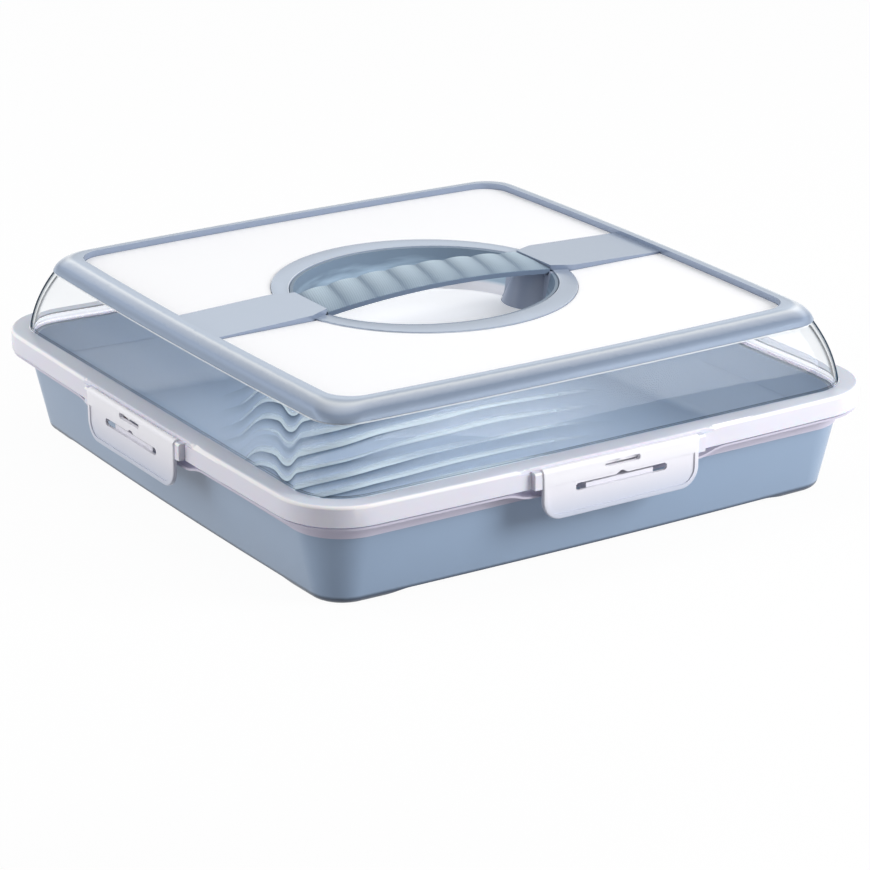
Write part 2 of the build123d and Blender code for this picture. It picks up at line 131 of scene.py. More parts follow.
def mouldedPolypropylene():
    material, tree = newMaterial("blueGreyPolypropylene")
    coords = addNode(tree, "TexCoord").outputs
    cloud = addNode(tree, "TexNoise", {"Scale": perMm(trayLook["cloudSize"]), "Detail": 2.0},
                    {"Vector": coords["Object"]})
    color = addNode(tree, "ValToRGB", {"stops": ((0.0, trayLook["color"]),
                                                 (1.0, trayLook["cloud"]))},
                    {"Fac": cloud.outputs["Fac"]}).outputs["Color"]
    height = addNode(tree, "SeparateXYZ", links={"Vector": coords["Object"]}).outputs["Z"]
    upward = addNode(tree, "SeparateXYZ", links={"Vector": coords["Normal"]}).outputs["Z"]
    low, foot = [addNode(tree, "MapRange", {"From Min": mm(start), "From Max": mm(end)},
                         {"Value": height}).outputs["Result"]
                 for start, end in (trayLook["ledgeHeights"], trayLook["footShadeHeights"])]
    ledge = addNode(tree, "Math", {"operation": "MULTIPLY", "use_clamp": True},
                    {0: low, 1: upward}).outputs[0]
    inner = inwardShare(tree, coords, trayLook["inwards"])
    # Painted light lifts the inner walls; the foot tint is painted shade along the lower edge
    for amount, tint in ((inner, "inner"), (ledge, "ledge"), (foot, "foot")):
        color = addNode(tree, "Mix", {"data_type": "RGBA", 7: toLinear(trayLook[tint])},
                        {0: amount, 6: color}).outputs[2]
    shader = addNode(tree, "BsdfPrincipled",
                     {"Roughness": trayLook["roughness"], "IOR": trayLook["ior"]},
                     {"Base Color": color, "Normal": mouldGrain(tree, coords, trayLook)})
    addNode(tree, "OutputMaterial", links={"Surface": shader.outputs["BSDF"]})
    return material


# Natural polypropylene, milky: flat walls lilac-grey, rounded edges a painted white highlight, and
# the inner side glowing with painted light. Its tone goes by how far a face looks upwards.
milkLook = {"tones": ((0.06, "#E6E5F0"), (0.3, "#FBFAFD"), (0.8, "#FBFAFD"), (0.97, "#D1D6E3")),
            "grain": 0.6, "grainDepth": 0.015, "grainStrength": 0.15, "roughness": 0.26,
            "ior": 1.49, "scatter": 2.0, "scatterShare": 0.2, "inwards": (-0.2, -0.6),
            "glow": 0.8}


def milkyPolypropylene():
    material, tree = newMaterial("milkyPolypropylene")
    coords = addNode(tree, "TexCoord").outputs
    upward = addNode(tree, "SeparateXYZ", links={"Vector": coords["Normal"]})
    # Tone by facing: the white on rounded edges is a painted highlight
    shade = addNode(tree, "ValToRGB", {"stops": milkLook["tones"]}, {"Fac": upward.outputs["Z"]})
    # Emission on the inner faces is painted light
    shader = addNode(tree, "BsdfPrincipled",
                     {"Roughness": milkLook["roughness"], "IOR": milkLook["ior"],
                      "Subsurface Weight": milkLook["scatterShare"],
                      "Subsurface Scale": mm(milkLook["scatter"]),
                      "Emission Color": (1, 1, 1, 1)},
                     {"Base Color": shade.outputs["Color"],
                      "Normal": mouldGrain(tree, coords, milkLook),
                      "Emission Strength": inwardShare(tree, coords, milkLook["inwards"],
                                                       milkLook["glow"])})
    addNode(tree, "OutputMaterial", links={"Surface": shader.outputs["BSDF"]})
    return material


# White polypropylene of the latches: smooth, darker and bluer low down.
# Its tone goes by height, from 0 at the lower of `toneHeights` to 1 at the upper.
flapLook = {"tones": ((0.0, "#CAD0E0"), (0.6, "#ECEBF3"), (1.0, "#F8F7FC")),
            "toneHeights": (32, 54), "grain": 0.6, "grainDepth": 0.015, "grainStrength": 0.15,
            "roughness": 0.28, "ior": 1.49}


def whitePolypropylene():
    material, tree = newMaterial("whitePolypropylene")
    coords = addNode(tree, "TexCoord").outputs
    height = addNode(tree, "SeparateXYZ", links={"Vector": coords["Object"]}).outputs["Z"]
    low, high = flapLook["toneHeights"]
    share = addNode(tree, "MapRange", {"From Min": mm(low), "From Max": mm(high)},
                    {"Value": height})
    shade = addNode(tree, "ValToRGB", {"stops": flapLook["tones"]},
                    {"Fac": share.outputs["Result"]})
    shader = addNode(tree, "BsdfPrincipled",
                     {"Roughness": flapLook["roughness"], "IOR": flapLook["ior"]},
                     {"Base Color": shade.outputs["Color"],
                      "Normal": mouldGrain(tree, coords, flapLook)})
    addNode(tree, "OutputMaterial", links={"Surface": shader.outputs["BSDF"]})
    return material


# Collar of the tray: the same milky plastic over blue-grey; its mauve-grey colour is partly
# painted shade from the skirt above it, and its inner faces glow with painted light
collarLook = {"color": "#CDC9D9", "roughness": 0.35, "inwards": (-0.2, -0.6), "glow": 0.6}


def shadedMauvePolypropylene():
    material, tree = newMaterial("shadedMauvePolypropylene")
    coords = addNode(tree, "TexCoord").outputs
    # Mauve-grey partly painted shade; emission on the inner faces is painted light
    shader = addNode(tree, "BsdfPrincipled",
                     {"Base Color": toLinear(collarLook["color"]),
                      "Roughness": collarLook["roughness"], "Emission Color": (1, 1, 1, 1)},
                     {"Emission Strength": inwardShare(tree, coords, collarLook["inwards"],
                                                       collarLook["glow"])})
    addNode(tree, "OutputMaterial", links={"Surface": shader.outputs["BSDF"]})
    return material


# Clear styrene (SAN): glassy and colourless, with a painted grey and then a painted dark edge
# reflection where it is seen edge on. `cast` is the light that its shadow lets through.
# `shadeAndHighlightLines` run level round it, a painted dark shade along its foot and a painted
# highlight under the cover: (height, half width, strength, colour).
clearLook = {"color": "#FDFEFF", "graze": "#C3CFDA", "grazeFacing": (0.55, 0.75),
             "outline": "#2F3C4A", "outlineFacing": (0.63, 0.8), "outlineHeights": (60.4, 61.4),
             "shadeAndHighlightLines": ((60.9, 0.25, 0.6, "#2F3C4A"), (93.4, 0.3, 0.75, "#F4F8FC")),
             "cast": "#5C6066", "roughness": 0.01, "ior": 1.22, "ripple": 30,
             "rippleDepth": 0.1, "rippleStrength": 0.4}

# Painted reflection streaks on the two walls at the near corner, `pitch` apart: each is a thin
# painted highlight over a painted dark reflection. `course` is their rise along the walls from the
# corner on, within `reach` of level, and `fades` says between which distances they come and go.
# Sizes are in mm; `bright`, `dark`, `breaks` and `taper` are shares of a wave or a noise.
streakReflectionLook = {"streakHighlight": "#D2E2EC", "shade": "#4E6070", "brightness": 0.85, "pitch": 7.2, "sway": 3.6,
            "swaySize": (18, 80), "breakSize": (7, 120), "breaks": (0.3, 0.46),
            "bright": (0.62, 0.1), "dark": (0.4, 0.95), "taper": (0.3, 0.95),
            "cornerAlong": 3, "cornerDepth": -120, "darkFade": (75, 30), "darkLeast": 0.3,
            "course": ((-120, -37), (-84, -22), (-48, -6), (-36, -8), (-24, -1), (14, 8),
                       (40, 10), (110, 11), (160, 9), (200, 4)), "reach": 50,
            "fades": {"left": (-105, -45), "right": (190, 90)}}


# Height above a streak's course, so that every painted reflection streak follows the same wavy
# line
def streakLevel(tree, height, along):
    low, high, reach = streakReflectionLook["course"][0][0], streakReflectionLook["course"][-1][0], streakReflectionLook["reach"]
    share = addNode(tree, "MapRange", {"From Min": mm(low), "From Max": mm(high)},
                    {"Value": along})
    course = addNode(tree, "FloatCurve", links={"Value": share.outputs["Result"]})
    spots = [((place - low) / (high - low), 0.5 + rise / (2 * reach))
             for place, rise in streakReflectionLook["course"]]
    points = course.mapping.curves[0].points
    points[0].location, points[1].location = spots[0], spots[-1]
    for spot in spots[1:-1]:
        points.new(*spot)
    course.mapping.update()
    rise = addNode(tree, "MapRange", {"To Min": mm(-reach), "To Max": mm(reach)},
                   {"Value": course.outputs["Value"]})
    return addNode(tree, "Math", {"operation": "SUBTRACT"},
                   {0: height, 1: rise.outputs["Result"]}).outputs[0]


# Amounts of the painted highlight and of the painted dark reflection of the streaks
def paintedStreakReflections(tree, point):
    axes = addNode(tree, "SeparateXYZ", links={"Vector": point}).outputs
    ahead = addNode(tree, "Math", {"operation": "SUBTRACT"}, {0: axes["X"], 1: axes["Y"]})
    along = addNode(tree, "Math", {"operation": "SUBTRACT", 1: mm(streakReflectionLook["cornerAlong"])},
                    {0: ahead.outputs[0]}).outputs[0]
    level = streakLevel(tree, axes["Z"], along)
    plan = addNode(tree, "CombineXYZ", links={"X": level, "Y": along}).outputs["Vector"]
    noises = []
    for across, lengthways in (streakReflectionLook["swaySize"], streakReflectionLook["breakSize"]):
        sized = addNode(tree, "Mapping", {"Scale": (perMm(across), perMm(lengthways), 1)},
                        {"Vector": plan})
        noises.append(addNode(tree, "TexNoise", {"Scale": 1.0, "Detail": 1.0},
                              {"Vector": sized.outputs["Vector"]}).outputs["Fac"])
    swayed = addNode(tree, "Math", {"operation": "MULTIPLY_ADD", 1: mm(streakReflectionLook["sway"])},
                     {0: noises[0], 2: level})
    steps = addNode(tree, "CombineXYZ", links={"X": swayed.outputs[0]})
    wave = addNode(tree, "TexWave", {"wave_profile": "SAW", "Scale": perWave(streakReflectionLook["pitch"])},
                   {"Vector": steps.outputs["Vector"]}).outputs["Fac"]
    strength = addNode(tree, "MapRange", {"From Min": streakReflectionLook["breaks"][0],
                                          "From Max": streakReflectionLook["breaks"][1]},
                       {"Value": noises[1]}).outputs["Result"]
    near = addNode(tree, "Math", {"operation": "ADD"}, {0: axes["X"], 1: axes["Y"]}).outputs[0]
    corner = addNode(tree, "Math", {"operation": "LESS_THAN", 1: mm(streakReflectionLook["cornerDepth"])},
                     {0: near})
    hidden = addNode(tree, "NewGeometry").outputs["Backfacing"]
    here = addNode(tree, "Math", {"operation": "SUBTRACT", "use_clamp": True},
                   {0: corner.outputs[0], 1: hidden}).outputs[0]
    for start, end in streakReflectionLook["fades"].values():
        fade = addNode(tree, "MapRange", {"From Min": mm(start), "From Max": mm(end)},
                       {"Value": along}).outputs["Result"]
        here = addNode(tree, "Math", {"operation": "MULTIPLY"}, {0: here, 1: fade}).outputs[0]
    strength = addNode(tree, "Math", {"operation": "MULTIPLY"}, {0: strength, 1: here}).outputs[0]
    amounts = []
    for start, end in (streakReflectionLook["bright"], streakReflectionLook["dark"]):
        band = addNode(tree, "MapRange", {"From Min": start, "From Max": end}, {"Value": wave})
        amounts.append(addNode(tree, "Math", {"operation": "MULTIPLY"},
                               {0: strength, 1: band.outputs["Result"]}).outputs[0])
    tapered = addNode(tree, "MapRange", {"From Min": streakReflectionLook["taper"][0],
                                         "From Max": streakReflectionLook["taper"][1]},
                      {"Value": amounts[0]}).outputs["Result"]
    far, close = streakReflectionLook["darkFade"]
    nearby = addNode(tree, "MapRange", {"From Min": mm(far), "From Max": mm(close),
                                        "To Min": streakReflectionLook["darkLeast"]},
                     {"Value": along}).outputs["Result"]
    dark = addNode(tree, "Math", {"operation": "MULTIPLY"},
                   {0: amounts[1], 1: nearby}).outputs[0]
    return tapered, dark


def clearStyrene():
    material, tree = newMaterial("clearStyrene")
    point = addNode(tree, "TexCoord").outputs["Object"]
    # Painted reflection streaks: a painted highlight over a painted dark reflection
    bright, dark = paintedStreakReflections(tree, point)
    height = addNode(tree, "SeparateXYZ", links={"Vector": point}).outputs["Z"]
    ripple = addNode(tree, "TexNoise", {"Scale": perMm(clearLook["ripple"]), "Detail": 0.5},
                     {"Vector": point})
    bump = addNode(tree, "Bump", {"Strength": clearLook["rippleStrength"],
                                  "Distance": mm(clearLook["rippleDepth"])},
                   {"Height": ripple.outputs["Fac"]})
    # Painted edge reflection: grey, then a dark outline, where the hood is seen edge on
    grazing = addNode(tree, "LayerWeight", {"Blend": 0.5}).outputs["Facing"]
    start, end = clearLook["grazeFacing"]
    edge = addNode(tree, "ValToRGB", {"stops": ((start, clearLook["color"]),
                                                (end, clearLook["graze"]))}, {"Fac": grazing})
    tint = addNode(tree, "Mix", {"data_type": "RGBA", 7: toLinear(streakReflectionLook["shade"])},
                   {0: dark, 6: edge.outputs["Color"]})
    glass = addNode(tree, "BsdfPrincipled",
                    {"Roughness": clearLook["roughness"], "IOR": clearLook["ior"],
                     "Transmission Weight": 1.0},
                    {"Base Color": tint.outputs[2], "Normal": bump.outputs["Normal"]})
    share = addNode(tree, "Math", {"operation": "MULTIPLY", 1: streakReflectionLook["brightness"]},
                    {0: bright})
    streakShine = addNode(tree, "BsdfDiffuse", {"Color": toLinear(streakReflectionLook["streakHighlight"])})
    shown = addNode(tree, "MixShader", links={0: share.outputs[0], 1: glass.outputs["BSDF"],
                                              2: streakShine.outputs["BSDF"]})
    sideways = addNode(tree, "MapRange", {"From Min": clearLook["outlineFacing"][0],
                                          "From Max": clearLook["outlineFacing"][1]},
                       {"Value": grazing})
    low, high = clearLook["outlineHeights"]
    aboveFoot = addNode(tree, "MapRange", {"From Min": mm(low), "From Max": mm(high)},
                        {"Value": height})
    outline = addNode(tree, "Math", {"operation": "MULTIPLY"},
                      {0: sideways.outputs["Result"], 1: aboveFoot.outputs["Result"]})
    strokes = [(outline.outputs[0], clearLook["outline"])]
    # Painted shade along the foot and a painted highlight under the cover
    for middle, half, strength, code in clearLook["shadeAndHighlightLines"]:
        line = addNode(tree, "Math", {"operation": "COMPARE", 1: mm(middle), 2: mm(half)},
                       {0: height})
        softer = addNode(tree, "Math", {"operation": "MULTIPLY", 1: strength},
                         {0: line.outputs[0]})
        strokes.append((softer.outputs[0], code))
    for amount, code in strokes:
        matt = addNode(tree, "BsdfDiffuse", {"Color": toLinear(code)})
        shown = addNode(tree, "MixShader", links={0: amount, 1: shown.outputs["Shader"],
                                                  2: matt.outputs["BSDF"]})
    clear = addNode(tree, "BsdfTransparent", {"Color": toLinear(clearLook["cast"])})
    ray = addNode(tree, "LightPath")
    lit = addNode(tree, "MixShader", links={0: ray.outputs["Is Shadow Ray"],
                                            1: shown.outputs["Shader"], 2: clear.outputs["BSDF"]})
    addNode(tree, "OutputMaterial", links={"Surface": lit.outputs["Shader"]})
    return material


# Pearl-filled polypropylene, silver-grey satin: rounded edges carry painted highlights, and the
# roll holds painted shade half-way down. Its tone goes by how far a face looks upwards, from 0
# (upright) to 1 (flat).
satinLook = {"tones": ((0.02, "#95A2B8"), (0.12, "#CFD6E2"), (0.38, "#9FADC1"), (0.7, "#94A3BA"),
                       (0.88, "#C3CCDB"), (0.955, "#E9EEF5"), (0.985, "#B9C4D4")),
             "roughness": 0.24, "ior": 1.5, "metallic": 0.5}


def pearlSatin():
    material, tree = newMaterial("pearlSatinPolypropylene")
    normal = addNode(tree, "TexCoord").outputs["Normal"]
    upward = addNode(tree, "SeparateXYZ", links={"Vector": normal}).outputs["Z"]
    # Tone by facing: painted highlights on rounded edges, painted shade half-way down the roll
    shade = addNode(tree, "ValToRGB", {"stops": satinLook["tones"]}, {"Fac": upward})
    shader = addNode(tree, "BsdfPrincipled",
                     {"Metallic": satinLook["metallic"], "Roughness": satinLook["roughness"],
                      "IOR": satinLook["ior"]},
                     {"Base Color": shade.outputs["Color"]})
    addNode(tree, "OutputMaterial", links={"Surface": shader.outputs["BSDF"]})
    return material


# Well: the tray's plastic moulded thinner, with draw streaks, darker towards its rim, white over
# its floor and slate round the two posts as painted shade. Heights and sizes are in mm.
wellLook = {"tones": ((0.3, "#C4DAE8"), (0.7, "#9CB2C6"), (1.0, "#6E8093")),
            "toneHeights": (76, 100), "floor": "#F4F4F9", "floorHeights": (83, 81),
            "streak": 2.5, "streakRun": 0.12, "streakShare": 0.5, "postShade": "#9CA5B8",
            "postX": 75, "postRadius": 21, "postEdge": 0.5, "roughness": 0.33}


def drawnPolypropylene():
    material, tree = newMaterial("drawnPolypropylene")
    point = addNode(tree, "TexCoord").outputs["Object"]
    axes = addNode(tree, "SeparateXYZ", links={"Vector": point}).outputs
    run = wellLook["streakRun"]
    stretched = addNode(tree, "Mapping", {"Scale": (run, run, 1)}, {"Vector": point})
    streak = addNode(tree, "TexNoise", {"Scale": perMm(wellLook["streak"]), "Detail": 2.0},
                     {"Vector": stretched.outputs["Vector"]})
    depth, low = [addNode(tree, "MapRange", {"From Min": mm(start), "From Max": mm(end)},
                          {"Value": axes["Z"]}).outputs["Result"]
                  for start, end in (wellLook["toneHeights"], wellLook["floorHeights"])]
    mixed = addNode(tree, "Math", {"operation": "MULTIPLY_ADD", 1: wellLook["streakShare"]},
                    {0: streak.outputs["Fac"], 2: depth})
    color = addNode(tree, "ValToRGB", {"stops": wellLook["tones"]},
                    {"Fac": mixed.outputs[0]}).outputs["Color"]
    out = addNode(tree, "Math", {"operation": "ABSOLUTE"}, {0: axes["X"]})
    plan = addNode(tree, "CombineXYZ", links={"X": out.outputs[0], "Y": axes["Y"]})
    away = addNode(tree, "VectorMath", {"operation": "DISTANCE", 1: (mm(wellLook["postX"]), 0, 0)},
                   {0: plan.outputs["Vector"]})
    postShade = addNode(tree, "MapRange", {
        "From Min": mm(wellLook["postRadius"] + wellLook["postEdge"]),
        "From Max": mm(wellLook["postRadius"])}, {"Value": away.outputs["Value"]})
    # The slate round the posts is painted shade
    for amount, tint in ((low, "floor"), (postShade.outputs["Result"], "postShade")):
        color = addNode(tree, "Mix", {"data_type": "RGBA", 7: toLinear(wellLook[tint])},
                        {0: amount, 6: color}).outputs[2]
    shader = addNode(tree, "BsdfPrincipled", {"Roughness": wellLook["roughness"]},
                     {"Base Color": color})
    addNode(tree, "OutputMaterial", links={"Surface": shader.outputs["BSDF"]})
    return material


# White sheet for a label: plain, smooth, nearly matt. The liner on the well's floor also glows
# with some painted light.
sheetLook = {"color": "#FAFAFC", "roughness": 0.5, "labelGlow": 0.0, "linerGlow": 0.3}


def whiteSheet(name, glow):
    material, tree = newMaterial(name)
    shader = addNode(tree, "BsdfPrincipled",
                     {"Base Color": toLinear(sheetLook["color"]),
                      "Roughness": sheetLook["roughness"],
                      "Emission Color": (1, 1, 1, 1), "Emission Strength": glow})
    addNode(tree, "OutputMaterial", links={"Surface": shader.outputs["BSDF"]})
    return material


# Slate polypropylene of the handle's core: plain moulded plastic, dark and dull
coreLook = {"color": "#66758A", "roughness": 0.4}


def slatePolypropylene():
    material, tree = newMaterial("slatePolypropylene")
    shader = addNode(tree, "BsdfPrincipled", {"Base Color": toLinear(coreLook["color"]),
                                              "Roughness": coreLook["roughness"]})
    addNode(tree, "OutputMaterial", links={"Surface": shader.outputs["BSDF"]})
    return material


# Thermoplastic rubber over the handle: dull, with a painted highlight on the crests of its finger
# waves and painted shade in their valleys, and a fine woven print, drawn as coarse as it needs to
# be to show. `turn` is in degrees.
rubberLook = {"valley": "#7A8EA3", "crest": "#C3D6E4", "gap": 0.8, "weave": 1.3, "turn": 20,
              "threadDepth": 0.2, "threadStrength": 0.6, "roughness": 0.5}


def wovenRubber():
    material, tree = newMaterial("wovenGripRubber")
    point = addNode(tree, "TexCoord").outputs["Object"]
    turned = addNode(tree, "Mapping", {"Rotation": (0, 0, math.radians(rubberLook["turn"]))},
                     {"Vector": point})
    warp, weft = [addNode(tree, "TexWave", {"wave_type": "BANDS", "bands_direction": direction,
                                            "Scale": perWave(rubberLook["weave"])},
                          {"Vector": turned.outputs["Vector"]}).outputs["Fac"]
                  for direction in ("X", "Y")]
    weave = addNode(tree, "Math", {"operation": "MULTIPLY"}, {0: warp, 1: weft}).outputs[0]
    # Painted highlight on the wave crests, painted shade in the valleys
    crest = addNode(tree, "Attribute", {"attribute_name": "crest"}).outputs["Fac"]
    wavy = addNode(tree, "Mix", {"data_type": "RGBA", 6: toLinear(rubberLook["valley"]),
                                 7: toLinear(rubberLook["crest"])}, {0: crest})
    lit = addNode(tree, "MapRange", {"To Min": rubberLook["gap"]}, {"Value": weave})
    color = addNode(tree, "VectorMath", {"operation": "MULTIPLY"},
                    {0: wavy.outputs[2], 1: lit.outputs["Result"]})
    bump = addNode(tree, "Bump", {"Strength": rubberLook["threadStrength"],
                                  "Distance": mm(rubberLook["threadDepth"])},
                   {"Height": weave})
    shader = addNode(tree, "BsdfPrincipled", {"Roughness": rubberLook["roughness"]},
                     {"Base Color": color.outputs["Vector"], "Normal": bump.outputs["Normal"]})
    addNode(tree, "OutputMaterial", links={"Surface": shader.outputs["BSDF"]})
    return material


finish = {
    "tray": mouldedPolypropylene(),
    "milk": milkyPolypropylene(),
    "flap": whitePolypropylene(),
    "collar": shadedMauvePolypropylene(),
    "clear": clearStyrene(),
    "satin": pearlSatin(),
    "well": drawnPolypropylene(),
    "sheet": whiteSheet("whitePolypropyleneSheet", sheetLook["labelGlow"]),
    # The liner's glow is painted light
    "liner": whiteSheet("whiteWellLiner", sheetLook["linerGlow"]),
    "slate": slatePolypropylene(),
    "rubber": wovenRubber(),
}

print("moulded shells")

# Which finish each moulded piece has
shells = {
    "base_tray": "tray", "base_rim": "collar", "lid_ring": "milk",
    "top_cover": "satin", "front_panel": "sheet", "back_panel": "sheet",
    "handle_well": "well", "well_floor": "liner", "handle_core": "slate",
    "front_latch": "flap", "right_latch": "flap", "back_latch": "flap", "left_latch": "flap",
}
smoothing = {"merge": 0.0005, "crease": 30}    # mm between corners that are one, degrees


def addPiece(name, mesh, material, node, crease=smoothing["crease"]):
    mesh.shade_smooth()
    mesh.set_sharp_from_angle(angle=math.radians(crease))
    mesh.materials.append(material)
    piece = bpy.data.objects.new(name, mesh)
    bpy.context.scene.collection.objects.link(piece)
    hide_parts(node)
    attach(piece, owner[node])


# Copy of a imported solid, merged so that its curves shade smoothly
def smoothShell(node, material):
    mesh = frame["nodes"][node].data.copy()
    mesh.name = node + "Mesh"
    if "custom_normal" in mesh.attributes:
        mesh.attributes.remove(mesh.attributes["custom_normal"])
    form = bmesh.new()
    form.from_mesh(mesh)
    bmesh.ops.remove_doubles(form, verts=form.verts, dist=mm(smoothing["merge"]))
    bmesh.ops.dissolve_degenerate(form, edges=form.edges, dist=mm(smoothing["merge"]))
    form.to_mesh(mesh)
    form.free()
    mesh.materials.clear()
    addPiece(node + "Shell", mesh, material, node)


for node, look in shells.items():
    smoothShell(node, finish[look])

print("hood")

# Clear hood: half sizes of its foot, then (inset, corner radius, bow, height) of its outline at
# the foot and at the shoulder. A bow acts past `bowFrom` of a half size, on that side only.
hoodForm = {"halfX": 167.8, "halfY": 171.4, "corner": 26.8, "foot": (0, 26.8, 0.3, 60.4),
            "shoulder": (13.9, 18.6, 2.9, 94.0), "bulge": 1.8, "wall": 2.0, "shelf": 9.0,
            "flange": 4.0, "flangeTop": 57.6, "base": 55.6, "bowFrom": 0.9, "steps": 12,
            "cornerSteps": 12, "sideSteps": 40, "merge": 0.001}


# Moves a station on the foot's outline to its place on another outline
def fitTo(station, section):
    inset, corner, bow, z = section
    halves = (hoodForm["halfX"], hoodForm["halfY"])
    place = []
    for along, base in zip(station, halves):
        half = base - inset
        straight = base - hoodForm["corner"]
        over = abs(along) - straight
        reach = half - corner + corner * over / hoodForm["corner"]
        place.append(math.copysign(reach, along) if over > 0 else
                     along * (half - corner) / straight)
    x, y = place
    shareX, shareY = [value / (base - inset) for value, base in zip(place, halves)]
    if abs(shareX) > hoodForm["bowFrom"]:
        x += math.copysign(bow, x) * (1 - shareY ** 2)
    if abs(shareY) > hoodForm["bowFrom"]:
        y += math.copysign(bow, y) * (1 - shareX ** 2)
    return Vector((mm(x), mm(y), mm(z)))


# Closed solid swept through the outlines: a rounded rectangle, extruded from one to the next
def sweptSolid(sections):
    form = bmesh.new()
    station = form.verts.layers.float_vector.new("station")
    bmesh.ops.create_grid(form, x_segments=1, y_segments=1, size=1)
    bmesh.ops.scale(form, vec=(hoodForm["halfX"], hoodForm["halfY"], 1), verts=form.verts)
    bmesh.ops.bevel(form, geom=list(form.verts), offset=hoodForm["corner"],
                    segments=hoodForm["cornerSteps"], affect="VERTICES", profile=0.5, material=-1)
    sides = [edge for edge in form.edges if edge.calc_length() > hoodForm["halfX"]]
    bmesh.ops.subdivide_edges(form, edges=sides, cuts=hoodForm["sideSteps"])
    for vert in form.verts:
        vert[station] = vert.co
        vert.co = fitTo(vert.co, sections[0])
    loop = list(form.edges)
    bmesh.ops.delete(form, geom=list(form.faces), context="FACES_ONLY")
    for section in sections[1:] + sections[:1]:
        grown = bmesh.ops.extrude_edge_only(form, edges=loop)["geom"]
        loop = [item for item in grown if isinstance(item, bmesh.types.BMEdge)
                and len(item.link_faces) == 1]
        for vert in {vert for edge in loop for vert in edge.verts}:
            vert.co = fitTo(vert[station], section)
    bmesh.ops.remove_doubles(form, verts=form.verts, dist=mm(hoodForm["merge"]))
    bmesh.ops.recalc_face_normals(form, faces=form.faces)
    form.verts.layers.float_vector.remove(station)
    return form


# Outline part of the way up the bulging wall, from 0 at the foot to 1 at the shoulder
def hoodSection(share, wall):
    foot, shoulder = hoodForm["foot"], hoodForm["shoulder"]
    lean = math.atan2(shoulder[3] - foot[3], shoulder[0])
    swell = 4 * hoodForm["bulge"] * share * (1 - share)
    inset, corner, bow, z = [a + (b - a) * share for a, b in zip(foot, shoulder)]
    return (inset - swell * math.sin(lean) + wall, corner - wall, bow,
            z + swell * math.cos(lean) - wall * share)


def makeHood():
    shares = [step / hoodForm["steps"] for step in range(hoodForm["steps"] + 1)]
    wall, base, flangeTop = hoodForm["wall"], hoodForm["base"], hoodForm["flangeTop"]
    foot, shoulder, flange = hoodForm["foot"], hoodForm["shoulder"], hoodForm["flange"]
    mouth = (shoulder[0] + hoodForm["shelf"], shoulder[1] - hoodForm["shelf"] / 2, shoulder[2])
    sections = [hoodSection(share, 0) for share in shares]
    sections += [(*mouth, shoulder[3]), (*mouth, shoulder[3] - wall)]
    sections += [hoodSection(share, wall) for share in reversed(shares)]
    sections += [(wall, foot[1] - wall, foot[2], base), (-flange, foot[1] + flange, foot[2], base),
                 (-flange, foot[1] + flange, foot[2], flangeTop), (0, foot[1], foot[2], flangeTop)]
    form = sweptSolid(sections)
    mesh = bpy.data.meshes.new("hoodShell")
    form.to_mesh(mesh)
    form.free()
    addPiece("hoodShell", mesh, finish["clear"], "hood")


makeHood()

print("grip pad")

# Soft pad: arched, crowned across, with slanting finger waves that fade to its front edge. A
# `breadth` under 1 makes their crests broader than their valleys; `dip` is how deep they cut the
# crown, `lag` puts the painted highlight to one side of each crest, and the front edge keeps only
# `frontDip` of the dip and `frontTone` of the painted highlight.
padForm = {"endX": 72.0, "half": 17.0, "crest": 104.4, "radius": 569.0, "crown": 1.9, "edge": 0.5,
           "pitch": 18.7, "start": -0.5, "slant": 4.5, "breadth": 0.7, "relief": 1.2,
           "dip": 0.85, "frontDip": 0.4, "lag": 1.5, "frontTone": 0.35, "along": 216,
           "across": 40, "crease": 50}


# 0 in a valley between two finger waves, 1 on a crest
def padWave(x, y):
    place = x - padForm["start"] - padForm["slant"] * y / padForm["half"]
    return abs(math.sin(math.pi * place / padForm["pitch"])) ** padForm["breadth"]


# `least` at the pad's front edge, 1 at its back edge
def towardsBack(y, least):
    return least + (1 - least) * (y / padForm["half"] + 1) / 2


def padTop(x, y):
    share = y / padForm["half"]
    dome = (padForm["crown"] - padForm["edge"]) * (1 - share ** 2)
    dome *= 1 - padForm["dip"] * (1 - padWave(x, y)) * towardsBack(y, padForm["frontDip"])
    return padForm["edge"] + dome + padForm["relief"] * padWave(x, y) * max(share, 0) ** 2


def makePad():
    form = bmesh.new()
    crest = form.verts.layers.float.new("crest")
    bmesh.ops.create_grid(form, x_segments=padForm["along"], y_segments=padForm["across"], size=1)
    bmesh.ops.scale(form, vec=(mm(padForm["endX"]), mm(padForm["half"]), 1), verts=form.verts)
    lifted = bmesh.ops.extrude_face_region(form, geom=list(form.faces))["geom"]
    raised = {item for item in lifted if isinstance(item, bmesh.types.BMVert)}
    for vert in form.verts:
        x, y = vert.co.x * 1000, vert.co.y * 1000
        arch = padForm["crest"] - padForm["radius"] + math.sqrt(padForm["radius"] ** 2 - x ** 2)
        vert.co.z = mm(arch)
        if vert in raised:
            vert.co.z = mm(arch + padTop(x, y))
            # Tone of the painted highlight on the crests and painted shade in the valleys
            vert[crest] = padWave(x - padForm["lag"], y) * towardsBack(y, padForm["frontTone"])
    bmesh.ops.recalc_face_normals(form, faces=form.faces)
    mesh = bpy.data.meshes.new("gripPadSleeve")
    form.to_mesh(mesh)
    form.free()
    addPiece("gripPadSleeve", mesh, finish["rubber"], "grip_pad", padForm["crease"])


makePad()

print("studio")

# Pale floor and sky. `floorGlow` is how far the eye sees the floor as plain white, and
# `bounceColor` what the object is lit by from below; lamps aim at `lampAim` mm above the floor.
studio = {"floorSize": 12.0, "floorColor": "#F2F2F4", "bounceColor": "#B4B5B9",
          "floorGlow": 0.96, "skyLight": 0.35, "lampAim": 50}


